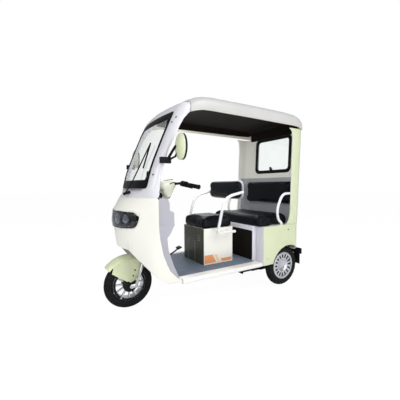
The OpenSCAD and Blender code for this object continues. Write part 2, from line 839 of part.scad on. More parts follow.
placed() chassis();
placed() rear_axle();
placed() leaf_springs();
placed() battery();
placed() floor();
placed() floor_mat();
placed() fairing();
placed() headlamp();
placed() wheel_house();
placed() leg_shield();
placed() windscreen_frame();
placed() windscreen_border();
placed() windscreen();
placed() wiper();
placed() roof();
placed() roof_liner();
placed() rear_shell();
placed() rear_trim();
placed() rear_window_seal();
placed() rear_window();
placed() rear_body();
placed() rear_bumper();
placed() tail_lamps();
placed() mud_flaps();
placed() bench_base();
placed() bench_cushion();
placed() bench_backrest();
placed() rear_armrests();
placed() seat_box();
placed() driver_backrest();
placed() driver_armrests();
placed() brake_pedal();
placed() mirrors();
placed() driver_cushion();
placed() fork();
placed() fork_sliders();
placed() front_brake();
placed() front_mudguard();
placed() handlebar();
placed() controls();
placed() instrument_pod();
placed() front_tyre();
placed() front_rim();
placed() rear_tyre(1);  // rear_tyre_left
placed() rear_rim(1);  // rear_rim_left
placed() rear_tyre(-1);  // rear_tyre_right
placed() rear_rim(-1);  // rear_rim_right
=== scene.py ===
# %% [markdown]
# # An open-sided passenger tricycle
#
# The frame gives every piece of the vehicle at its real size, in metres: x to the vehicle's left,
# y to its back, z up. This lesson dresses those pieces with finishes, tread, upholstery and
# fasteners. It never moves or resizes them.

# %% Load the frame
import json
import math

import bmesh
import bpy
from mathutils import Matrix, Vector
from mathutils.bvhtree import BVHTree


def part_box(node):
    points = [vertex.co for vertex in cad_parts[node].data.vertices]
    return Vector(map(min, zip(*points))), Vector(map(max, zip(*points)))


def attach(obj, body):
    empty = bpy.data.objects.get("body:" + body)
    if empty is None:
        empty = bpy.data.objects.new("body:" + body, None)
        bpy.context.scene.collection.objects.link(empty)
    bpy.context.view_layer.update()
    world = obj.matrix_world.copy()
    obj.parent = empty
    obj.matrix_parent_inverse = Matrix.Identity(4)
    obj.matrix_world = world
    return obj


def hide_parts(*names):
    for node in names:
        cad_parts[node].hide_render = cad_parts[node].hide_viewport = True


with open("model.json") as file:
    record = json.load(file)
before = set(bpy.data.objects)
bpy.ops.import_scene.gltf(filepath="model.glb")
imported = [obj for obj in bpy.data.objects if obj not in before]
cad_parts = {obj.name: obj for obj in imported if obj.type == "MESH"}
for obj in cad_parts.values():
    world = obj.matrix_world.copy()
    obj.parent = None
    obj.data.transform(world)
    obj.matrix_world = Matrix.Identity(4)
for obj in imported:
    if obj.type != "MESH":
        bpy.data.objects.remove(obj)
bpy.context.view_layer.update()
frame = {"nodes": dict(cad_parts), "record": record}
nodes = frame["nodes"]
record = frame["record"]
scene = bpy.context.scene
MM = 0.001
BODY_OF = {
    node: body for body, members in record["behaviour"]["bodies"].items() for node in members}
SLOT_OF = {part["node"]: part["material_slot"] for part in record["subparts"]}

# %% [markdown]
# Places on the vehicle are said in millimetres from the rear axle, where its maker would measure
# from too. One function turns such a place into the frame's metres.

# %% Places counted from the rear axle
def middle(node):
    low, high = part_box(node)
    return (low + high) / 2


REAR_AXLE_Y = middle("rear_rim_left").y
FRONT_AXLE = middle("front_rim")


def place(x, y, z):
    return Vector((x * MM, REAR_AXLE_Y + y * MM, z * MM))


print("rear axle at y =", round(REAR_AXLE_Y, 4))

# %% [markdown]
# The camera stands at the vehicle's front left, a little below the eye level of a person, and looks
# slightly down. Its place and focal length were fitted to wheels, pillars and roof edges.

# %% Camera
IMAGE_PIXELS = 400
FOCAL_PIXELS = 261.8
SENSOR_MM = 36
CAMERA_AT = place(2196, -2112, 1034)
VIEW_AZIMUTH = math.radians(58.97)
VIEW_PITCH = math.radians(3.18)
VIEW_ROLL = math.radians(-0.25)

camera_data = bpy.data.cameras.new("front_left_view")
camera_data.sensor_width = SENSOR_MM
camera_data.lens = SENSOR_MM * FOCAL_PIXELS / IMAGE_PIXELS
camera = bpy.data.objects.new("front_left_view", camera_data)
scene.collection.objects.link(camera)
camera.matrix_world = (
    Matrix.Translation(CAMERA_AT)
    @ Matrix.Rotation(VIEW_AZIMUTH, 4, "Z")
    @ Matrix.Rotation(math.pi / 2 - VIEW_PITCH, 4, "X")
    @ Matrix.Rotation(VIEW_ROLL, 4, "Z"))
scene.camera = camera
print("lens", round(camera_data.lens, 2), "mm")

# %% [markdown]
# A material is a small graph of nodes. One helper adds a node, sets its options and links its
# inputs, so that each finish below reads as a short list of steps. Colours are written as sRGB hex
# values, the way a paint chart gives them, and turned to the linear values that light needs.

# %% Helpers for finishes
def linear(hex_colour):
    channels = [int(hex_colour[i:i + 2], 16) / 255 for i in (1, 3, 5)]
    return [c / 12.92 if c <= 0.04045 else ((c + 0.055) / 1.055) ** 2.4 for c in channels] + [1.0]


def add_node(material, kind, inputs=None, **settings):
    """Adds a node. An input is a value, a socket, or a node whose first output it takes."""
    node = material.node_tree.nodes.new(kind)
    for name, value in settings.items():
        setattr(node, name, value)
    for key, value in (inputs or {}).items():
        source = value.outputs[0] if isinstance(value, bpy.types.Node) else value
        if isinstance(source, bpy.types.NodeSocket):
            material.node_tree.links.new(source, node.inputs[key])
        else:
            node.inputs[key].default_value = source
    return node


def new_material(name):
    """A bare material, and the socket that gives each spot's place on the vehicle in metres."""
    material = bpy.data.materials.new(name)
    material.use_nodes = True
    material.node_tree.nodes.clear()
    return material, add_node(material, "ShaderNodeTexCoord").outputs["Object"]


def close_material(material, shader):
    add_node(material, "ShaderNodeOutputMaterial", {"Surface": shader})
    return material


def principled(material, inputs):
    return close_material(material, add_node(material, "ShaderNodeBsdfPrincipled", inputs))


def noise(material, spot, size_mm, detail, roughness=0.5):
    """A cloudy pattern from 0 to 1 whose features are about size_mm long."""
    inputs = {"Vector": spot, "Scale": 1000 / size_mm, "Detail": detail, "Roughness": roughness}
    return add_node(material, "ShaderNodeTexNoise", inputs)


def tones(material, pattern, *stops):
    """Two colours laid over a pattern; each stop is a position and a colour."""
    ramp = add_node(material, "ShaderNodeValToRGB", {"Fac": pattern})
    for stop, (position, colour) in zip(ramp.color_ramp.elements, stops):
        stop.position, stop.color = position, linear(colour)
    return ramp


def spread(material, pattern, low, high):
    """Maps a pattern from 0 to 1 on to the range from low to high."""
    inputs = {"Value": pattern, "To Min": low, "To Max": high}
    return add_node(material, "ShaderNodeMapRange", inputs)


def bumps(material, pattern, strength, depth_mm):
    """Normals of a surface that a pattern raises."""
    inputs = {"Height": pattern, "Strength": strength, "Distance": depth_mm * MM}
    return add_node(material, "ShaderNodeBump", inputs)


# %% [markdown]
# ## Studio
#
# A pale floor and a white surround, as in a catalogue. The surround is white only to rays that look
# at it, directly or through glass, so that black pieces don't mirror it. The light on the vehicle
# comes from large soft lamps and a dim sky, at a level where a colour renders about as written.
# Two small lamps hang under the roof for the dash and the rear wall.

# %% Floor, surround and lamps
WHITE = (1, 1, 1, 1)
SKY_STRENGTH = 0.42
FLOOR_SIZE = 40
FLOOR_GLOW = 0.94
GLOW_STRENGTH = 1.03
CABIN = (0, -700, 800)
# Columns: name, place and aim in mm, width in metres, watts, whether shiny pieces mirror the lamp.
LAMPS = [
    ("key_lamp", (3600, -200, 3600), CABIN, 3.0, 88, True),
    ("nose_lamp", (1200, -4600, 2400), CABIN, 2.6, 52, True),
    ("side_lamp", (3800, -900, 1000), (0, -900, 800), 2.5, 32, True),
    ("far_lamp", (-3600, 1200, 3000), CABIN, 3.0, 60, True),
    ("dash_fill", (0, -520, 1480), (0, -1180, 760), 0.6, 4.5, False),
    ("bench_fill", (0, -950, 1450), (0, 180, 1120), 0.6, 3, False)]


def studio_world():
    world = bpy.data.worlds.new("white_surround")
    world.use_nodes = True
    world.node_tree.nodes.clear()
    ray = add_node(world, "ShaderNodeLightPath").outputs
    seen = add_node(
        world, "ShaderNodeMath", {0: ray["Is Camera Ray"], 1: ray["Is Transmission Ray"]},
        operation="MAXIMUM")
    sky = add_node(
        world, "ShaderNodeBackground", {"Color": linear("#f4f6fa"), "Strength": SKY_STRENGTH})
    white = add_node(world, "ShaderNodeBackground", {"Color": WHITE, "Strength": 1.0})
    both = add_node(world, "ShaderNodeMixShader", {0: seen, 1: sky, 2: white})
    add_node(world, "ShaderNodeOutputWorld", {"Surface": both})
    return world


def floor_finish():
    """Matt white studio floor: mostly white to the eye, with enough real shade to hold a shadow."""
    material, spot = new_material("matt_studio_floor")
    tone = tones(material, noise(material, spot, 800, 2.0), (0.3, "#f7f7f7"), (0.7, "#fdfdfd"))
    matt = add_node(material, "ShaderNodeBsdfDiffuse", {"Color": tone})
    glow = add_node(material, "ShaderNodeEmission", {"Color": WHITE, "Strength": GLOW_STRENGTH})
    seen = add_node(material, "ShaderNodeLightPath").outputs["Is Camera Ray"]
    share = add_node(material, "ShaderNodeMath", {0: seen, 1: FLOOR_GLOW}, operation="MULTIPLY")
    both = add_node(material, "ShaderNodeMixShader", {0: share, 1: matt, 2: glow})
    return close_material(material, both)


def soft_lamp(name, spot, target, size, watts, mirrored):
    spot, target = place(*spot), place(*target)
    data = bpy.data.lights.new(name, "AREA")
    data.shape = "DISK"
    data.size = size
    data.energy = watts
    lamp = bpy.data.objects.new(name, data)
    lamp.location = spot
    lamp.rotation_euler = (target - spot).to_track_quat("-Z", "Y").to_euler()
    lamp.visible_camera = lamp.visible_transmission = False
    lamp.visible_glossy = mirrored
    scene.collection.objects.link(lamp)


scene.view_settings.view_transform = "Standard"
scene.world = studio_world()
plane = bmesh.new()
bmesh.ops.create_grid(plane, x_segments=1, y_segments=1, size=FLOOR_SIZE)
floor_mesh = bpy.data.meshes.new("studio_floor")
plane.to_mesh(floor_mesh)
plane.free()
studio_floor = bpy.data.objects.new("studio_floor", floor_mesh)
floor_mesh.materials.append(floor_finish())
scene.collection.objects.link(studio_floor)
for row in LAMPS:
    soft_lamp(*row)

# %% [markdown]
# ## Finishes
#
# The shells are painted mouldings: an even colour under lacquer, with a faint orange peel, slow
# drifts of tone and a breath of road dust low down. One function makes that finish in each colour.

# %% Painted shells
DUST_COLOUR = "#a89c86"
DUST_LOW, DUST_HIGH = 0.22, 0.55
PEEL_MM, PEEL_DEPTH_MM = 6, 0.2


def painted_shell(name, colour, shade, roughness, dust=0.10):
    """Sprayed and lacquered moulding. Orange peel is 3 mm wide, drawn at 6 mm so that it shows."""
    material, spot = new_material(name)
    tone = tones(material, noise(material, spot, 350, 3.0), (0.3, shade), (0.7, colour))
    height = add_node(material, "ShaderNodeSeparateXYZ", {0: spot}).outputs["Z"]
    low = add_node(
        material, "ShaderNodeMapRange",
        {"Value": height, "From Min": DUST_LOW, "From Max": DUST_HIGH,
         "To Min": dust, "To Max": 0.0})
    specks = noise(material, spot, 14, 6.0, roughness=0.7)
    dirt = add_node(material, "ShaderNodeMath", {0: low, 1: specks}, operation="MULTIPLY")
    dusty = add_node(
        material, "ShaderNodeMix", {0: dirt, 6: tone, 7: linear(DUST_COLOUR)}, data_type="RGBA")
    peel = noise(material, spot, PEEL_MM, 1.0)
    return principled(material, {
        "Base Color": dusty.outputs[2],
        "Roughness": spread(material, specks, roughness - 0.04, roughness + 0.06),
        "Normal": bumps(material, peel, 0.05, PEEL_DEPTH_MM),
        "IOR": 1.5, "Coat Weight": 0.35, "Coat Roughness": 0.08})


cream_shell = painted_shell("cream_lacquered_moulding", "#f3f2e9", "#efeee4", 0.34)
grey_shell = painted_shell("grey_lacquered_moulding", "#dfdee3", "#d9d8de", 0.36)
roof_shell = painted_shell("pale_grey_roof_moulding", "#cccbc9", "#c6c5c3", 0.4)
edge_shell = painted_shell("cream_roof_edge", "#e9e4d3", "#e3decc", 0.42)
green_shell = painted_shell("pale_green_lacquered_moulding", "#d5dcbb", "#cfd6b2", 0.34)
dash_shell = painted_shell("grey_inner_moulding", "#d9d8e0", "#d2d1d9", 0.46)
shield_shell = painted_shell("lavender_grey_leg_shield", "#b5b4bd", "#aeadb7", 0.5)
trim_shell = painted_shell("mid_grey_inner_panel", "#b0b4b8", "#a6abaf", 0.5)
sill_shell = painted_shell("white_sill_moulding", "#f4f3ef", "#eeede9", 0.42, dust=0.12)
pod_shell = painted_shell("ivory_moulding", "#e9ebd8", "#e3e5d0", 0.38)
# Dark olive for the seat box's front: partly its own colour, partly painted shade on that face.
olive_with_painted_shade = painted_shell("olive_panel_with_painted_shade", "#4a4a38", "#414131", 0.55)
olive_rib = painted_shell("worn_olive_rib", "#8d8c74", "#828169", 0.5)
white_tube = painted_shell("white_powder_coat", "#eeeeef", "#e8e8ea", 0.3, dust=0.0)
green_guard = painted_shell("pale_green_mudguard", "#dbe2bb", "#d4dcb0", 0.34, dust=0.15)
orange_print = painted_shell("orange_print", "#e79a5f", "#e08f52", 0.5, dust=0.0)
peach_print = painted_shell("peach_print", "#f2c9a2", "#efc196", 0.5, dust=0.0)

# %% [markdown]
# The dark pieces differ mostly in how they scatter light: moulded plastic has a fine grain, rubber
# is dull and dusty, powder coat on steel is a little pebbled, and seat vinyl has a leather print.

# %% Dark finishes
def dark_finish(name, colour, bloom, roughness, grain_mm, depth_mm,
                voronoi=False, sheen=0.0, shine=0.3):
    """A dark surface with a raised grain; bloom is the paler tone that wear and dust give it."""
    material, spot = new_material(name)
    cloud = noise(material, spot, 90, 5.0, roughness=0.65)
    kind = "ShaderNodeTexVoronoi" if voronoi else "ShaderNodeTexNoise"
    grain = add_node(material, kind, {"Vector": spot, "Scale": 1000 / grain_mm})
    return principled(material, {
        "Base Color": tones(material, cloud, (0.4, colour), (0.85, bloom)),
        "Roughness": spread(material, cloud, roughness - 0.06, roughness + 0.1),
        "Normal": bumps(material, grain, 0.5, depth_mm),
        "IOR": 1.5, "Specular IOR Level": shine, "Sheen Weight": sheen})


black_plastic = dark_finish(
    "grained_black_plastic", "#0e0e10", "#19191c", 0.5, 2.5, 0.15, shine=0.15)
gloss_black = dark_finish(
    "gloss_black_plastic", "#060607", "#0b0b0d", 0.35, 6, 0.02, shine=0.06)
black_rubber = dark_finish("black_rubber", "#0c0c0d", "#19191a", 0.64, 3, 0.1, shine=0.2)
tyre_rubber = dark_finish("tyre_rubber", "#0e0e10", "#1e1d1d", 0.7, 2, 0.2, shine=0.2)
black_steel = dark_finish(
    "black_powder_coated_steel", "#0e0f11", "#1b1c1e", 0.45, 2.2, 0.12, shine=0.2)
seat_vinyl = dark_finish(
    "black_leather_print_vinyl", "#07090e", "#0b1017", 0.42, 3.5, 0.15, voronoi=True, shine=0.17)
liner_cloth = dark_finish(
    "brown_black_roof_liner", "#120e0c", "#181210", 0.85, 2.0, 0.2, sheen=0.03, shine=0.1)
mat_rubber = dark_finish("slate_rubber_mat", "#67727f", "#7a8492", 0.6, 2.5, 0.15)
battery_case = dark_finish("battery_case_plastic", "#2b2e32", "#373b3f", 0.5, 3, 0.1)

# %% [markdown]
# Cast alloy wheels are machined bright and lacquered, fork tubes are plated, and the lamps and
# panes are clear or tinted plastic and glass. A metal keeps the default IOR.

# %% Metals, glass and lenses
def bright_metal(name, colour, shade, roughness, streak_mm):
    """Machined or plated metal: fine turning marks spread the highlight."""
    material, spot = new_material(name)
    marks = noise(material, spot, streak_mm, 4.0)
    return principled(material, {
        "Base Color": tones(material, marks, (0.3, shade), (0.7, colour)), "Metallic": 1.0,
        "Roughness": spread(material, marks, roughness - 0.05, roughness + 0.08),
        "Normal": bumps(material, marks, 0.1, 0.1)})


def clear_pane(name, tint, roughness, transmission):
    """Glass or clear acrylic with a faint film that dulls its gloss in places."""
    material, spot = new_material(name)
    film = noise(material, spot, 160, 3.0)
    return principled(material, {
        "Base Color": tones(material, film, (0.3, tint[0]), (0.7, tint[1])),
        "Roughness": spread(material, film, roughness, roughness + 0.03),
        "Transmission Weight": transmission, "IOR": 1.45})


wheel_alloy = bright_metal("machined_wheel_alloy", "#d9dade", "#c6c8cc", 0.3, 5)
plated_steel = bright_metal("plated_steel", "#cfd0d3", "#bdbfc3", 0.22, 8)
mirror_glass = bright_metal("mirror_silver", "#e6e9ea", "#e2e5e7", 0.06, 200)
window_glass = clear_pane("window_glass", ("#f2f8f6", "#f7fbfa"), 0.0, 1.0)
lamp_lens = clear_pane("tinted_lamp_lens", ("#b9bec6", "#c5cad1"), 0.02, 1.0)
lamp_chip = clear_pane("frosted_lamp_chip", ("#f4efd8", "#fbf8ea"), 0.3, 0.2)
red_lens = clear_pane("red_tail_lens", ("#8e1212", "#a01a18"), 0.08, 0.35)
print(len(bpy.data.materials), "finishes")

# %% [markdown]
# ## Dressing the rigid pieces
#
# A CAD solid arrives as loose triangles with knife edges. Each piece is copied, its triangles are
# joined, flat areas become one face, and its sharp edges get the small round that moulding or
# deburring leaves. That round is what catches the light along every panel.

# %% Copy, soften and finish a piece
SMOOTH_ANGLE = math.radians(38)


def solid_copy(node, flat_angle=0.4):
    solid = bmesh.new()
    solid.from_mesh(nodes[node].data)
    bmesh.ops.remove_doubles(solid, verts=solid.verts, dist=0.02 * MM)
    bmesh.ops.dissolve_limit(
        solid, angle_limit=math.radians(flat_angle), verts=solid.verts, edges=solid.edges)
    return solid


def soften(solid, width_mm, angle=40, segments=2):
    sharp = [e for e in solid.edges if e.is_manifold and e.calc_face_angle(0) > math.radians(angle)]
    bmesh.ops.bevel(
        solid, geom=sharp, offset=width_mm * MM, offset_type="OFFSET", affect="EDGES",
        segments=segments, profile=0.5, material=-1, clamp_overlap=False, loop_slide=True)


def outward(solid):
    bmesh.ops.recalc_face_normals(solid, faces=solid.faces)


def make_piece(solid, name, material, body="body"):
    """Turns a bmesh into a piece of the vehicle that rides on a body."""
    mesh = bpy.data.meshes.new(name)
    solid.to_mesh(mesh)
    solid.free()
    mesh.materials.append(material)
    mesh.shade_smooth()
    mesh.set_sharp_from_angle(angle=SMOOTH_ANGLE)
    piece = bpy.data.objects.new(name, mesh)
    scene.collection.objects.link(piece)
    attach(piece, body)
    return piece


def dress(node, material, round_mm):
    solid = solid_copy(node)
    if round_mm:
        soften(solid, round_mm)
    piece = make_piece(solid, node + "_skin", material, BODY_OF[node])
    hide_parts(node)
    return piece


# Columns: node, finish, rounding of its edges in mm.
RIGID = [
    ("chassis", black_steel, 1.5), ("rear_axle", black_steel, 1.5),
    ("leaf_springs", black_steel, 0.8), ("battery", battery_case, 4),
    ("floor", sill_shell, 3), ("floor_mat", mat_rubber, 1.2),
    ("fairing", cream_shell, 2.5), ("headlamp", gloss_black, 2),
    ("wheel_house", black_plastic, 1), ("leg_shield", shield_shell, 2),
    ("windscreen_frame", grey_shell, 2.5), ("windscreen_border", gloss_black, 1.5),
    ("windscreen", window_glass, 0), ("wiper", black_plastic, 0.8),
    ("roof", roof_shell, 3), ("roof_liner", liner_cloth, 1.5),
    ("rear_shell", cream_shell, 3), ("rear_trim", trim_shell, 1.5),
    ("rear_window_seal", black_rubber, 2.5), ("rear_window", window_glass, 0),
    ("rear_body", green_shell, 3), ("rear_bumper", black_plastic, 3),
    ("tail_lamps", red_lens, 3), ("mud_flaps", black_rubber, 1.5),
    ("bench_base", dash_shell, 2), ("seat_box", cream_shell, 2),
    ("driver_armrests", white_tube, 0), ("brake_pedal", black_steel, 1.2),
    ("fork", black_steel, 1), ("fork_sliders", plated_steel, 1),
    ("front_brake", black_steel, 1), ("front_mudguard", green_guard, 1.2),
    ("handlebar", black_steel, 0), ("controls", black_rubber, 1),
    ("instrument_pod", pod_shell, 1), ("front_rim", wheel_alloy, 1.5),
    ("rear_rim_left", wheel_alloy, 1.2), ("rear_rim_right", wheel_alloy, 1.2)]
skins = {node: dress(node, finish, round_mm) for node, finish, round_mm in RIGID}
print(len(skins), "rigid pieces dressed")

# %% [markdown]
# Some mouldings are sprayed in two colours, and a wheel's drum is black behind a bright cover. The
# seat box's dark olive front is partly its own colour and partly painted shade, and the black on
# the bench base's low faces is painted shade under the bench. A painter masks by place, and so does
# this: each rule tells from a face's middle and the way it looks whether it gets the second finish.

# %% Second colours
def paint(piece, finish, chosen):
    """Gives a further finish to the faces for which chosen(centre, normal) holds."""
    piece.data.materials.append(finish)
    index = len(piece.data.materials) - 1
    for face in piece.data.polygons:
        if chosen(face.center, face.normal):
            face.material_index = index


def off_axle(spot, axle):
    return math.hypot(spot.y - axle.y, spot.z - axle.z)


REAR_RIMS = ((1, "rear_rim_left"), (-1, "rear_rim_right"))
DRUM_R, COVER_R, COVER_DEEP = 57 * MM, 118 * MM, 27 * MM
QUARTER_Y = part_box("rear_body")[0].y
BOX_LOW, BOX_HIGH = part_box("seat_box")
BOX_FRONT = BOX_LOW.y
DECK_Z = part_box("bench_base")[1].z

paint(skins["front_rim"], black_steel, lambda c, n: off_axle(c, FRONT_AXLE) < DRUM_R)
for side, node in REAR_RIMS:
    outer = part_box(node)[1 if side > 0 else 0].x
    axle = middle(node)
    paint(skins[node], black_steel,
          lambda c, n: abs(outer - c.x) > COVER_DEEP and off_axle(c, axle) < COVER_R)
paint(skins["rear_body"], dash_shell,
      lambda c, n: n.y < -0.7 and c.y < QUARTER_Y + 20 * MM and c.z < DECK_Z + 1 * MM)
# Painted shade: the bench base's backward-looking faces below the deck get black, for the shade
# under the bench.
paint(skins["bench_base"], black_plastic, lambda c, n: n.y > 0.5 and c.z < DECK_Z - 10 * MM)
# The seat box's front gets the dark olive: partly its own colour, partly painted shade.
paint(skins["seat_box"], olive_with_painted_shade, lambda c, n: n.y < -0.75 and c.y < BOX_FRONT + 10 * MM)
paint(skins["rear_shell"], green_shell,
      lambda c, n: c.x * n.x > 0.2 * abs(c.x) and abs(c.x) > 0.4)
paint(skins["roof"], edge_shell,
      lambda c, n: n.z < -0.3 or (abs(c.x) > 0.38 and c.x * n.x < -0.3 * abs(c.x)))
print("second colours on", len([p for p in skins.values() if len(p.data.materials) > 1]), "pieces")

# %% [markdown]
# The mirrors come as one solid with their arms. The pale back is the part of the solid that lies on
# its egg-shaped shell; the flat side is inset to leave a black rim round silvered glass.

# %% Mirrors
MIRROR_EGG = Vector((65.3, 34.6, 96))
MIRROR_AT = place(520, -1262, 1312)
RIM_WIDE, RIM_DEEP = 7 * MM, 2 * MM


def egg_level(spot):
    """1 on the mirror's shell, more outside it."""
    away = Vector((abs(spot.x) - MIRROR_AT.x, spot.y - MIRROR_AT.y, spot.z - MIRROR_AT.z))
    return sum((away[i] / (MIRROR_EGG[i] * MM)) ** 2 for i in range(3))


def mirror_piece():
    solid = solid_copy("mirrors", flat_angle=0.2)
    for face in solid.faces:
        face.material_index = 0 if egg_level(face.calc_center_median()) < 1.06 else 1
    flat = [f for f in solid.faces if f.normal.y > 0.95 and egg_level(f.calc_center_median()) < 0.6]
    rim = bmesh.ops.inset_region(
        solid, faces=flat, thickness=RIM_WIDE, depth=-RIM_DEEP,
        use_even_offset=True, use_boundary=True)["faces"]
    for index, faces in ((1, rim), (2, flat)):
        for face in faces:
            face.material_index = index
    piece = make_piece(solid, "mirrors_skin", green_shell)
    for finish in (black_plastic, mirror_glass):
        piece.data.materials.append(finish)
    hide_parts("mirrors")
    return piece


skins["mirrors"] = mirror_piece()
print("mirror faces:", len(skins["mirrors"].data.polygons))

# %% [markdown]
# ## Turned and small parts
#
# Bolts, lamp bowls and grip ribs are all turned shapes: a profile spun round an axis and set on the
# surface that carries it. To find that surface, a ray is cast at the piece, like a pointer.

# %% Helpers for turned parts
UP = Vector((0, 0, 1))
BACKWARDS = Vector((0, 1, 0))
FORWARDS = -BACKWARDS
SIDES = ((-1, "right"), (1, "left"))


def gather(solids):
    """Joins several bmeshes into one."""
    whole = bmesh.new()
    for solid in solids:
        passing = bpy.data.meshes.new("passing")
        solid.to_mesh(passing)
        solid.free()
        whole.from_mesh(passing)
        bpy.data.meshes.remove(passing)
    return whole


def stand(solid, spot, axis):
    """Turns a bmesh from the origin's z axis to another axis, and sets it at spot."""
    turn = axis.to_track_quat("Z", "Y").to_matrix().to_4x4()
    bmesh.ops.transform(solid, matrix=Matrix.Translation(spot) @ turn, verts=solid.verts)
    return solid


def spin(solid, points, following, centre, axis, steps, weld_mm):
    """Joins each point to the one following it, and spins the line round an axis."""
    edges = [solid.edges.new(pair) for pair in zip(points, following)]
    bmesh.ops.spin(
        solid, geom=points + edges, cent=centre, axis=axis, angle=2 * math.pi,
        steps=steps, use_merge=True)
    bmesh.ops.remove_doubles(solid, verts=solid.verts, dist=weld_mm * MM)
    outward(solid)


def lathe(profile, spot, axis, steps=24):
    """Spins a profile of (radius, height) in mm round an axis through spot."""
    solid = bmesh.new()
    points = [solid.verts.new((r * MM, 0, h * MM)) for r, h in profile]
    spin(solid, points, points[1:], Vector((0, 0, 0)), UP, steps, 0.01)
    return stand(solid, spot, axis)


def surface_of(piece):
    solid = bmesh.new()
    solid.from_mesh(piece.data)
    tree = BVHTree.FromBMesh(solid)
    solid.free()
    return tree


def feel(tree, start, way):
    """The place and outward normal where a ray first meets a surface."""
    spot, normal, _, _ = tree.ray_cast(start, way)
    return spot, normal if normal.dot(way) < 0 else -normal


def slab(width, depth, height, corner, spot, axis):
    """A plate with rounded corners, its sizes in mm, standing on spot along axis."""
    solid = bmesh.new()
    made = bmesh.ops.create_cube(solid, size=1.0)["verts"]
    bmesh.ops.scale(solid, vec=Vector((width, depth, height)) * MM, verts=made)
    bmesh.ops.translate(solid, vec=(0, 0, height / 2 * MM), verts=made)
    upright = [e for e in solid.edges if abs(e.verts[0].co.z - e.verts[1].co.z) > height / 2 * MM]
    bmesh.ops.bevel(
        solid, geom=upright, offset=corner * MM, affect="EDGES",
        segments=5, profile=0.5, material=-1)
    soften(solid, min(height, corner) * 0.25, angle=60)
    return stand(solid, spot, axis)


def join_rows(sheet, rows):
    """Fills faces between rows of vertices that are all as long."""
    for row, following in zip(rows, rows[1:]):
        for i in range(len(row) - 1):
            sheet.faces.new((row[i], row[i + 1], following[i + 1], following[i]))


def thicken(sheet, thick_mm):
    """Backs an open sheet with a copy of itself, and joins the two along the border."""
    sheet.normal_update()
    front, rim = list(sheet.faces), [e for e in sheet.edges if e.is_boundary]
    back = {v: sheet.verts.new(v.co - thick_mm * MM * v.normal) for v in list(sheet.verts)}
    for face in front:
        sheet.faces.new([back[v] for v in reversed(face.verts)])
    for edge in rim:
        a, b = edge.verts
        sheet.faces.new((a, b, back[b], back[a]))
    outward(sheet)
    return sheet


def round_bends(points, reach):
    """Swaps each corner of a path for a curve that starts and ends at most reach from it."""
    def towards(corner, other):
        away = other - corner
        return corner + away.normalized() * min(reach, away.length * 0.48)

    path = [points[0]]
    for before, corner, after in zip(points, points[1:], points[2:]):
        start, end = towards(corner, before), towards(corner, after)
        for t in [i / 8 for i in range(9)]:
            path.append((1 - t) ** 2 * start + 2 * t * (1 - t) * corner + t ** 2 * end)
    return path + [points[-1]]


def shown_mesh(thing):
    """A new mesh of what a curve, or a piece with modifiers, shows."""
    return bpy.data.meshes.new_from_object(
        thing.evaluated_get(bpy.context.evaluated_depsgraph_get()))


def tube_piece(points, radius_mm, name, material, body="body", closed=False):
    """A round tube along a row of places."""
    curve = bpy.data.curves.new(name, "CURVE")
    curve.dimensions = "3D"
    curve.bevel_depth = radius_mm * MM
    curve.bevel_resolution = 3
    curve.use_fill_caps = True
    spline = curve.splines.new("POLY")
    spline.points.add(len(points) - 1)
    for point, spot in zip(spline.points, points):
        point.co = (*spot, 1)
    spline.use_cyclic_u = closed
    guide = bpy.data.objects.new(name + "_guide", curve)
    scene.collection.objects.link(guide)
    bpy.context.view_layer.update()
    mesh = shown_mesh(guide)
    bpy.data.objects.remove(guide)
    bpy.data.curves.remove(curve)
    solid = bmesh.new()
    solid.from_mesh(mesh)
    bpy.data.meshes.remove(mesh)
    return make_piece(solid, name, material, body)

# %% [markdown]
# The headlamp is a dark panel with a clear lens over it, both bent to the nose like a sheet of warm
# plastic over a mould: a grid of places inside the lamp's outline is felt for on the nose and
# lifted off it. Two bright bowls a side and a row of small lights sit on the panel.

# %% Headlamp
# Sizes in mm. An edge's height changes by the square of the place across, divided by its bend.
LAMP_HALF, LAMP_MID, LAMP_LOW, LAMP_HIGH, LAMP_END = 279, 772, 700, 838, 40
LOW_BEND, HIGH_BEND, BROW_BEND = 5000, 8000, 1500
BROW_HALF, BROW_HIGH = 196, 872
LAMP_COLUMNS, LAMP_LEVELS = 36, 9
PANEL_LIFT, AHEAD_OF_NOSE = 2, -2200
# Columns: place across and height in mm, radius in mm.
BOWLS = [(92, 776, 42), (188, 780, 34)]
# Turned profiles: share of the bowl's radius, height in mm.
BOWL_PROFILE = [(0.2, 0.4), (0.62, 1.0), (0.92, 3.6), (1, 4), (1, -3)]
CHIP_PROFILE = [(0, 2.8), (0.17, 2.2), (0.22, 0), (0.22, -2)]
LIGHTS = [(x, 716 + 0.0002 * x * x) for x in range(-210, 211, 30)]
nose = [surface_of(skins["fairing"]), surface_of(skins["headlamp"])]


def on_nose(x, z):
    """A place on the nose. Rays a little beside it bridge the slit round the lamp."""
    slips = [(0, 0), (-2, 0), (2, 0), (0, -3), (0, 3)]
    starts = [place(x + i, AHEAD_OF_NOSE, z + j) for i, j in slips]
    hits = [tree.ray_cast(start, BACKWARDS) for tree in nose for start in starts]
    spot, normal, _, _ = min((h for h in hits if h[0]), key=lambda h: h[0].y)
    return spot, normal if normal.y < 0 else -normal


def lamp_height(x, level):
    """The lamp's outline: nearly level edges, bent a little, and round ends."""
    past = max(0.0, abs(x) - LAMP_HALF + LAMP_END) / LAMP_END
    share = math.sqrt(max(0.04, 1 - past * past))
    edge = LAMP_HIGH - x * x / HIGH_BEND if level > 0.5 else LAMP_LOW + x * x / LOW_BEND
    return LAMP_MID + (edge - LAMP_MID) * share * abs(2 * level - 1)


def brow_height(x, level):
    """The strip of nose above the lamp, which squares off its upper edge."""
    low = LAMP_HIGH - x * x / HIGH_BEND
    return low + (BROW_HIGH - x * x / BROW_BEND - low) * level


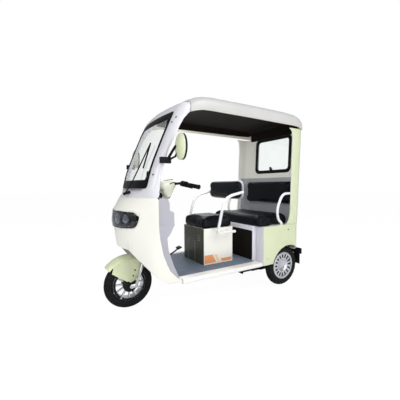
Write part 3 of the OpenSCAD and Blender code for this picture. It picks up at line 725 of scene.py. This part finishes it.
def nose_sheet(height, half, lift_mm, thick_mm):
    """A sheet bent to the nose, between the heights that height(x, level) gives."""
    solid = bmesh.new()
    rows = []
    for i in range(LAMP_COLUMNS + 1):
        x = half * math.sin(math.pi * (i / LAMP_COLUMNS - 0.5))
        spots = [on_nose(x, height(x, j / (LAMP_LEVELS - 1)))[0] for j in range(LAMP_LEVELS)]
        rows.append([solid.verts.new(spot) for spot in spots])
    join_rows(solid, rows)
    bmesh.ops.smooth_vert(
        solid, verts=[v for v in solid.verts if not v.is_boundary], factor=0.5, use_axis_y=True)
    outward(solid)
    solid.normal_update()
    if solid.faces[0].normal.y > 0:
        bmesh.ops.reverse_faces(solid, faces=solid.faces)
        solid.normal_update()
    for vert in solid.verts:
        vert.co += lift_mm * MM * vert.normal
    return thicken(solid, thick_mm)


# Columns: piece; outline, half its width, lift off the nose and thickness in mm; finish; node.
SHEETS = [
    ("headlamp_panel", (lamp_height, LAMP_HALF, PANEL_LIFT, 3), gloss_black, "headlamp"),
    ("headlamp_lens", (lamp_height, LAMP_HALF, 8, 1.5), lamp_lens, "headlamp"),
    ("headlamp_brow", (brow_height, BROW_HALF, 2, 2), cream_shell, "fairing")]
for name, shape, finish, node in SHEETS:
    make_piece(nose_sheet(*shape), name, finish)
bowls, chips = [], []
for x, z, radius in [(side * x, z, r) for side in (-1, 1) for x, z, r in BOWLS]:
    spot, normal = on_nose(x, z)
    spot += PANEL_LIFT * MM * normal
    bowls.append(lathe([(radius * r, h) for r, h in BOWL_PROFILE], spot, normal, 32))
    chips.append(lathe([(radius * r, h) for r, h in CHIP_PROFILE], spot, normal))
for x, z in LIGHTS:
    spot, normal = on_nose(x, z)
    bowls.append(slab(17, 7, 2.5, 2, spot + PANEL_LIFT * MM * normal, normal))
make_piece(gather(bowls), "headlamp_bowls", plated_steel)
make_piece(gather(chips), "headlamp_chips", lamp_chip)
print(len(BOWLS) * 2, "lamp bowls,", len(LIGHTS), "small lights")

# %% [markdown]
# Bolts hold the pillars, the mudguard and the quarter panels. Each is a low dome on a washer,
# seated at the place on its panel that is nearest to the one in the table.

# %% Bolts
BOLT = [(7, -1), (7, 0.8), (5, 1), (5, 3), (4, 3.8), (0, 4.2)]
# Columns: piece, place in mm. The last pair is plated.
SIDE_BOLTS = [
    ("windscreen_frame", 388, -1231, 1550), ("windscreen_frame", 368, -1257, 1513),
    ("windscreen_frame", 374, -1415, 1115), ("fairing", 420, -1388, 970),
    ("fairing", 420, -1376, 940), ("front_mudguard", 76, -1468, 329),
    ("front_mudguard", 76, -1484, 283), ("rear_body", 540, -12, 590),
    ("rear_body", 540, -300, 330)]
for i, (node, x, y, z) in enumerate(SIDE_BOLTS):
    tree = surface_of(skins[node])
    finish, slot = black_steel, "black_steel"
    if i == len(SIDE_BOLTS) - 1:
        finish, slot = plated_steel, "bright_steel"
    pair = []
    for side in (-1, 1):
        spot, normal, _, _ = tree.find_nearest(place(side * x, y, z))
        pair.append(lathe(BOLT, spot, normal, 16))
    make_piece(gather(pair), f"{node}_bolts_{i}", finish, BODY_OF[node])
print(2 * len(SIDE_BOLTS), "bolts")

# %% [markdown]
# A rubber bead holds each mirror's glass, and a stout arm comes up from the pillar to the middle of
# its back. On the rear wheels, the openings in the bright covers show black.

# %% Mirror beads, arms and wheel openings
# In mm: the middle of the ring round the glass, half its width and height, and the arm's path.
RING_X, RING_Y, RING_Z, RING_WIDE, RING_TALL = 520, -1245, 1312, 57, 87
RING_R, ARM_R, RING_STEPS = 8, 10, 48
MIRROR_ARM = [
    (432, -1330, 1224), (452, -1322, 1240), (486, -1310, 1280), (508, -1301, 1306),
    (516, -1294, 1312)]
for side, name in SIDES:
    ring = [
        place(side * (RING_X + RING_WIDE * math.cos(t)), RING_Y, RING_Z + RING_TALL * math.sin(t))
        for t in (2 * math.pi * i / RING_STEPS for i in range(RING_STEPS))]
    arm = [place(side * x, y, z) for x, y, z in MIRROR_ARM]
    slot = SLOT_OF["mirrors"]
    tube_piece(ring, RING_R, f"mirror_bead_{name}", black_rubber, closed=True)
    tube_piece(arm, ARM_R, f"mirror_arm_{name}", black_plastic)

OPENING_COUNT = 16
OPENING_MID = 93 * MM


def from_axle(turn):
    return Vector((0, math.cos(turn), math.sin(turn)))


# The cover's face is felt for between two openings, and each opening's plate is set into it.
for side, node in REAR_RIMS:
    tree = surface_of(skins[node])
    axle = middle(node)
    out = Vector((side, 0, 0))
    openings = []
    for i in range(OPENING_COUNT):
        turn = 2 * math.pi * i / OPENING_COUNT
        way, beside = from_axle(turn), from_axle(turn + math.pi / OPENING_COUNT)
        face, _ = feel(tree, axle + OPENING_MID * beside + out, -out)
        spot = axle + OPENING_MID * way
        spot.x = face.x - 0.5 * MM * side
        opening = slab(17, 44, 1.6, 7, Vector((0, 0, 0)), UP)
        axes = Matrix((way.cross(out), way, out)).transposed().to_4x4()
        bmesh.ops.transform(opening, matrix=Matrix.Translation(spot) @ axes, verts=opening.verts)
        openings.append(opening)
    make_piece(gather(openings), f"{node}_openings", black_steel, BODY_OF[node])
print("mirrors and wheel covers finished")

# %% [markdown]
# Rubber grips have ribs round them, a display is let into the pod, and two cables loop from the
# switches down behind it. The cables stay on the steering, so they never stretch.

# %% Grips, display and cables
GRIP_IN = place(196, -1042.3, 1042.7)
GRIP_OUT = place(322, -1001.3, 1021.7)
GRIP_RIBS = 13
RIB_PROFILE = [(16.5, -2.2), (18.4, -1), (18.4, 1), (16.5, 2.2)]
ribs = []
for side in (-1, 1):
    flip = Vector((side, 1, 1))
    way = ((GRIP_OUT - GRIP_IN) * flip).normalized()
    for i in range(GRIP_RIBS):
        spot = (GRIP_IN + (GRIP_OUT - GRIP_IN) * (i + 1) / (GRIP_RIBS + 1)) * flip
        ribs.append(lathe(RIB_PROFILE, spot, way, 20))
make_piece(gather(ribs), "grip_ribs", black_rubber, "steering")

# The pod's lower cover: a skin drawn tight over a few balls, as (place, radius) in mm.
POD_BALLS = [((50, -1192, 1008), 36), ((50, -1118, 1040), 36), ((34, -1148, 940), 26)]
skirt = bmesh.new()
for (x, y, z), radius in POD_BALLS:
    for side in (-1, 1):
        bmesh.ops.create_uvsphere(
            skirt, u_segments=24, v_segments=16, radius=radius * MM,
            matrix=Matrix.Translation(place(side * x, y, z)))
hull = bmesh.ops.convex_hull(skirt, input=skirt.verts)
inside = list({*hull["geom_interior"], *hull["geom_unused"]})
bmesh.ops.delete(skirt, geom=inside, context="VERTS")
make_piece(skirt, "pod_skirt", pod_shell, "steering")

spot, normal = feel(surface_of(skins["instrument_pod"]), place(0, -1130, 1400), -UP)
screen = slab(104, 62, 5, 10, spot - 3 * MM * normal, normal)
make_piece(screen, "pod_display", gloss_black, "steering")

# Each cable's path, in mm: out of the switches, over in an arc and into the pod's flank.
CABLE = [
    (138, -1086, 1046), (124, -1120, 1062), (98, -1146, 1056), (72, -1158, 1032),
    (52, -1158, 996), (36, -1154, 972)]
CABLE_R, CABLE_BEND = 4, 16 * MM
for side, name in SIDES:
    path = round_bends([place(side * x, y, z) for x, y, z in CABLE], CABLE_BEND)
    tube_piece(path, CABLE_R, "cable_" + name, black_rubber, "steering")
print("grips, display and cables on the steering")

# %% [markdown]
# The dash closes against the nose with a cheek on each side. Level by level, a row of places runs
# from just inside the nose's rear edge to the back of the leg shield, and the rows are skinned.

# %% Cheeks of the dash
CHEEK_LEVELS = range(325, 930, 10)
CHEEK_SHARES = [i / 6 for i in range(7)]
# In mm: the cheek's start inside the nose's edge, its thickness, and the leg shield's side.
CHEEK_IN, CHEEK_TUCK, CHEEK_THICK = 17, 12, 3
SHIELD_X, SHIELD_SIDE = 365, 378.5
fairing_surface = surface_of(skins["fairing"])
shield_surface = surface_of(skins["leg_shield"])


def nose_edge(side, z):
    """The rearmost place of the nose's side wall at a height, found by walking forward."""
    for y in range(-950, -1450, -4):
        spot = fairing_surface.ray_cast(place(side * 900, y, z), Vector((-side, 0, 0)))[0]
        if spot and spot.x * side > 0.3:
            return spot


cheeks = []
for side in (-1, 1):
    cheek, rows = bmesh.new(), []
    for z in CHEEK_LEVELS:
        edge = nose_edge(side, z)
        back = shield_surface.ray_cast(place(side * SHIELD_X, -700, z), FORWARDS)[0]
        if edge and back and back.y > edge.y + 3 * MM:
            start = edge + Vector((-side * CHEEK_IN, -CHEEK_TUCK, 0)) * MM
            end = Vector((side * SHIELD_SIDE * MM, back.y - 0.5 * MM, edge.z))
            rows.append([cheek.verts.new(start.lerp(end, share)) for share in CHEEK_SHARES])
    join_rows(cheek, rows)
    bmesh.ops.smooth_vert(cheek, verts=cheek.verts, factor=0.5, use_axis_y=True)
    print("cheek rows:", len(rows))
    cheeks.append(thicken(cheek, CHEEK_THICK))
make_piece(gather(cheeks), "dash_cheeks", shield_shell)

# %% [markdown]
# Ribs run along the rubber mat. They stop at the seat box, and the middle ones at the wheel house.

# %% Mat ribs
# In mm: the ribs' ends, and the half widths of what they stop at.
MAT_FRONT, MAT_BACK, HOUSE_BACK, BOX_START, BOX_END = -1195, -355, -1120, -880, -528
HOUSE_HALF, BOX_HALF = 40, 206
RIB_PITCH, RIBS_A_SIDE, RIB_SUNK = 22, 14, 0.3 * MM
mat_top = Vector((0, 0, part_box("floor_mat")[1].z - RIB_SUNK))
ribs = []
for i in range(-RIBS_A_SIDE, RIBS_A_SIDE + 1):
    x = i * RIB_PITCH
    start = HOUSE_BACK if abs(x) < HOUSE_HALF else MAT_FRONT
    spans = [(start, MAT_BACK)]
    if abs(x) < BOX_HALF:
        spans = [(start, BOX_START), (BOX_END, MAT_BACK)]
    for front, back in spans:
        ribs.append(slab(6, back - front, 1.6, 2.5, place(x, (front + back) / 2, 0) + mat_top, UP))
make_piece(gather(ribs), "mat_ribs", mat_rubber)
print(len(ribs), "mat ribs")

# %% [markdown]
# A rubber bead covers the edge of the rear window's seal on the cabin side, and a catch stands on
# it. The bead follows the wall: each place on its rounded outline is felt for on the rear shell.

# %% Rear window
BEAD_R, BEAD_OUT, CORNER_R, CORNER_STEP = 10, 8, 50, 10
wall_surface = surface_of(skins["rear_shell"])
window_low, window_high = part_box("rear_window_seal")
catch = [
    slab(30, 44, 12, 5, Vector((0, window_low.y, window_low.z + 18 * MM)), FORWARDS),
    slab(16, 34, 20, 4, Vector((0, window_low.y - 7 * MM, window_low.z + 38 * MM)), FORWARDS)]
make_piece(gather(catch), "window_catch", black_plastic)

# The corners' centres, in mm.
corner_x = window_high.x / MM + BEAD_OUT - CORNER_R
corner_low = window_low.z / MM - BEAD_OUT + CORNER_R
corner_high = window_high.z / MM + BEAD_OUT - CORNER_R
bead = []
for degrees in range(0, 360, CORNER_STEP):
    turn = math.radians(degrees + CORNER_STEP / 2)
    x = math.copysign(corner_x, math.cos(turn)) + CORNER_R * math.cos(turn)
    z = (corner_high if degrees < 180 else corner_low) + CORNER_R * math.sin(turn)
    bead.append(feel(wall_surface, place(x, -400, z), BACKWARDS)[0])
tube_piece(bead, BEAD_R, "window_bead", black_rubber, closed=True)
print("bead of", len(bead), "places")

# %% [markdown]
# A pale shell closes the back of the driver's backrest. The seat box has plain printed stripes on
# its sides, and raised ribs and louvres on its front.

# %% Driver's seat
back_low, back_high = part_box("driver_backrest")
shell_size = (back_high - back_low) / MM
shell_spot = Vector((0, back_high.y - 1 * MM, (back_low.z + back_high.z) / 2))
shell = slab(shell_size.x - 6, shell_size.z - 6, 7, 50, shell_spot, BACKWARDS)
make_piece(shell, "driver_back_shell", dash_shell)

# Columns: finish, corners as (lengthways, height) in mm on the box's sides.
STRIPES = [
    (orange_print, [(-862, 316), (-735, 316), (-775, 392), (-862, 392)]),
    (peach_print, [(-715, 316), (-690, 316), (-730, 392), (-755, 392)]),
    (orange_print, [(-670, 316), (-556, 316), (-556, 344), (-685, 344)])]
STRIPE_OUT = BOX_HIGH.x + 0.5 * MM
for i, (finish, corners) in enumerate(STRIPES):
    pair = []
    for side in (-1, 1):
        stripe = bmesh.new()
        stripe.faces.new([
            stripe.verts.new((side * STRIPE_OUT, place(0, y, 0).y, z * MM)) for y, z in corners])
        stripe.normal_update()
        bmesh.ops.solidify(stripe, geom=stripe.faces, thickness=0.4 * MM)
        outward(stripe)
        pair.append(stripe)
    make_piece(gather(pair), f"seat_box_stripe_{i}", finish)

# Columns: width, height, corner radius, place across and height of the middle, all in mm.
BOX_RIBS = [(9, 230, 4, x, 400) for x in (-95, 35)]
BOX_RIBS += [(46, 6, 2.5, 112, z) for z in (520, 536, 552, 568)]
ribs = [
    slab(width, height, 3, corner, Vector((x * MM, BOX_FRONT + 0.4 * MM, z * MM)), FORWARDS)
    for width, height, corner, x, z in BOX_RIBS]
make_piece(gather(ribs), "seat_box_ribs", olive_rib)
print(len(STRIPES), "stripes a side,", len(ribs), "ribs on the seat box")

# %% [markdown]
# Under the bench, a dark sheet across the toe space is painted shade, and a dark header closes the
# roof liner down to the rear window. The header fills the height between a place on the wall and
# the roof above it.

# %% Painted shade under the bench, and header
SHADE_SHEET_WIDE, SHADE_SHEET_TALL, SHADE_SHEET_MID = 604, 290, 150 * MM
HEADER_WIDE, HEADER_THIN, HEADER_LAP = 690, 14, 4
bench_low, bench_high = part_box("bench_base")
# A dark sheet across the front of the bench: painted shade for the space under it.
shade_sheet_spot = Vector((0, bench_low.y + 0.4 * MM, bench_low.z + SHADE_SHEET_MID))
painted_shade_sheet = slab(SHADE_SHEET_WIDE, SHADE_SHEET_TALL, 1.2, 12, shade_sheet_spot, FORWARDS)
make_piece(painted_shade_sheet, "bench_painted_shade_sheet", liner_cloth)

wall, _ = feel(wall_surface, place(0, -400, 1590), BACKWARDS)
below_roof = Vector((0, wall.y - HEADER_THIN * MM, 1.4))
ceiling, _ = feel(surface_of(skins["roof"]), below_roof, UP)
header_low = wall.z - 10 * MM
header_high = ceiling.z - 2 * MM
header_deep = max(HEADER_THIN, (wall.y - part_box("roof_liner")[1].y) / MM + HEADER_LAP)
header_spot = Vector((0, wall.y - 1 * MM, (header_low + header_high) / 2))
header = slab(
    HEADER_WIDE, (header_high - header_low) / MM, header_deep, 10, header_spot, FORWARDS)
make_piece(header, "rear_header", liner_cloth)
print("header", [round(v, 3) for v in (wall.y, header_low, header_high, header_deep)])

# %% [markdown]
# The rear pillars' feet sweep forward on to the quarter panels, and the rear armrests are the
# frame's tubes with their bends drawn round.

# %% Pillar feet and rear armrests
# In mm: how far a foot reaches forward and up the pillar, its inner face and its thickness.
FOOT_REACH, FOOT_RISE, FOOT_X, FOOT_THICK = 88, 200, 406, 13
foot = [(0, 1), (0, FOOT_RISE)]
for t in [i / 10 for i in range(9, -1, -1)]:
    foot.append((-FOOT_REACH * (1 - t) ** 2, FOOT_RISE * t * t + 1))
gussets = []
for side in (-1, 1):
    pillar, _ = feel(wall_surface, place(side * 413, -420, 760), BACKWARDS)
    gusset = bmesh.new()
    flat = gusset.faces.new([
        gusset.verts.new((side * FOOT_X * MM, pillar.y + (y + 2) * MM, DECK_Z + (z + 3) * MM))
        for y, z in foot])
    grown = bmesh.ops.extrude_face_region(gusset, geom=[flat])["geom"]
    outer_verts = [v for v in grown if isinstance(v, bmesh.types.BMVert)]
    bmesh.ops.translate(gusset, vec=(side * FOOT_THICK * MM, 0, 0), verts=outer_verts)
    outward(gusset)
    soften(gusset, 2.5)
    gussets.append(gusset)
make_piece(gather(gussets), "pillar_feet", green_shell)

# The armrest's path as (lengthways, height) in mm, from inside the pillar down to the bench.
ARM_BENDS = [
    (60, 950), (-75, 950), (-150, 790), (-128, 690), (-85, 664), (-85, bench_high.z / MM + 0.3)]
TUBE_R, TUBE_BEND = 13, 70 * MM
arm_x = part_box("rear_armrests")[1].x / MM - TUBE_R
for side, name in SIDES:
    path = round_bends([place(side * arm_x, y, z) for y, z in ARM_BENDS], TUBE_BEND)
    tube_piece(
        path, TUBE_R, "rear_armrest_" + name, white_tube)
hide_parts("rear_armrests")
print("feet and armrests placed")

# %% [markdown]
# ## Tyres
#
# The frame's tyres are smooth. A road tyre has ribs round it and blocks across its shoulders. Its
# section is spun round the axle, then the faces that fall in a groove are inset and sunk.

# %% Tyres with tread
SECTION_SIDE = [5, 17, 28, 34, 48, 62, 74, 86, 98, 112, 125]
SECTION_DEGREES = [-angle for angle in reversed(SECTION_SIDE)] + SECTION_SIDE
TREAD_STEPS = 144
GROOVE_DEPTH = 4 * MM


def in_groove(across, step):
    """Whether the face at that place across the tread, in degrees, and that step round is sunk."""
    side = abs(across)
    if side < 5 or 28 < side < 34:
        return True
    if 34 < side < 74:
        return (step + (3 if across > 0 else 0)) % 6 == 0
    return 5 < side < 28 and (step + (6 if across > 0 else 0)) % 12 == 2


def tyre_piece(node):
    low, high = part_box(node)
    hub = middle(node)
    half = (high.x - low.x) / 2
    ring = (high.z - low.z) / 2 - half
    solid = bmesh.new()
    section = [
        solid.verts.new(hub + Vector((half * math.sin(a), 0, ring + half * math.cos(a))))
        for a in map(math.radians, SECTION_DEGREES)]
    spin(solid, section, section[1:] + section[:1], hub, (1, 0, 0), TREAD_STEPS, 0.05)
    grooves = []
    for face in solid.faces:
        spot = face.calc_center_median() - hub
        radius = math.hypot(spot.y, spot.z)
        across = math.degrees(math.atan2(spot.x, radius - ring))
        turn = math.atan2(spot.y, spot.z) / (2 * math.pi) % 1
        if in_groove(across, int(turn * TREAD_STEPS)):
            grooves.append(face)
    bmesh.ops.inset_region(
        solid, faces=grooves, thickness=0.8 * MM, depth=-GROOVE_DEPTH,
        use_even_offset=True, use_boundary=True)
    piece = make_piece(solid, node + "_tread", tyre_rubber, BODY_OF[node])
    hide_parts(node)
    return piece


tyres = [tyre_piece(node) for node in ("front_tyre", "rear_tyre_left", "rear_tyre_right")]
print("tyre faces:", len(tyres[0].data.polygons))

# %% [markdown]
# ## Cushions
#
# Seat cushions are foam in a vinyl cover. Foam pushes the cover out until the seams hold it, which
# is what a cloth simulation with inner pressure does. Each cushion starts a little small, is
# remeshed evenly and swells; its underside stays flat because it rests on a board.

# %% Swell the cushions
SIM_FRAMES, FOAM_PRESSURE, COVER_STIFFNESS = 18, 4, 8
SEAM_ROUND, BOARD_GRIP = 24, 8 * MM
# Columns: node, piece, axis and end that rest on a board, voxels, shrink and largest swell in mm.
CUSHIONS = [
    ("driver_cushion", "driver_seat_cushion", (2, -1), 7, 9, 18),
    ("bench_cushion", "bench_seat_cushion", (2, -1), 9, 9, 18),
    ("driver_backrest", "driver_back_cushion", (1, 1), 7, 8, 16),
    ("bench_backrest", "bench_back_cushion", (1, 1), 8, 8, 16)]


def apply_modifiers(piece):
    """Makes what the modifiers show the piece's own mesh."""
    mesh = shown_mesh(piece)
    piece.modifiers.clear()
    piece.data = mesh


def cushion(node, name, rest, voxel_mm, shrink_mm, cap_mm):
    """Swells a node's solid into a cushion. rest is the axis and end that lie on a board."""
    low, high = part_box(node)
    size = high - low
    axis, end = rest
    anchor = middle(node)
    board = anchor[axis] = (low if end < 0 else high)[axis]
    solid = solid_copy(node)
    for vert in solid.verts:
        for i in range(3):
            keep = (size[i] - 2 * shrink_mm * MM) / size[i]
            vert.co[i] = anchor[i] + (vert.co[i] - anchor[i]) * keep
    soften(solid, SEAM_ROUND, segments=4)
    piece = make_piece(solid, name, seat_vinyl, BODY_OF[node])
    voxels = piece.modifiers.new("voxels", "REMESH")
    voxels.mode = "VOXEL"
    voxels.voxel_size = voxel_mm * MM
    apply_modifiers(piece)
    start = [v.co.copy() for v in piece.data.vertices]
    held = piece.vertex_groups.new(name="board")
    on_board = [i for i, p in enumerate(start) if abs(p[axis] - board) < BOARD_GRIP]
    held.add(on_board, 1.0, "REPLACE")
    cloth = piece.modifiers.new("foam", "CLOTH")
    foam = cloth.settings
    foam.quality = 5
    foam.vertex_group_mass = held.name
    foam.bending_stiffness = COVER_STIFFNESS
    foam.use_pressure = True
    foam.uniform_pressure_force = FOAM_PRESSURE
    foam.effector_weights.gravity = 0
    cloth.point_cache.frame_start = 1
    cloth.point_cache.frame_end = SIM_FRAMES
    for number in range(1, SIM_FRAMES + 1):
        scene.frame_set(number)
    apply_modifiers(piece)
    scene.frame_set(1)
    for vert, rested in zip(piece.data.vertices, start):
        moved = vert.co - rested
        vert.co = rested + moved * min(1, cap_mm * MM / max(moved.length, 1e-9))
        vert.co[axis] = max(vert.co[axis], board) if end < 0 else min(vert.co[axis], board)
    piece.vertex_groups.clear()
    ease = piece.modifiers.new("ease", "SMOOTH")
    ease.factor, ease.iterations = 0.5, 10
    finer = piece.modifiers.new("finer", "SUBSURF")
    finer.levels = finer.render_levels = 1
    apply_modifiers(piece)
    piece.data.shade_smooth()
    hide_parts(node)
    return piece


cushions = [cushion(*row) for row in CUSHIONS]
print("cushion faces:", [len(c.data.polygons) for c in cushions])
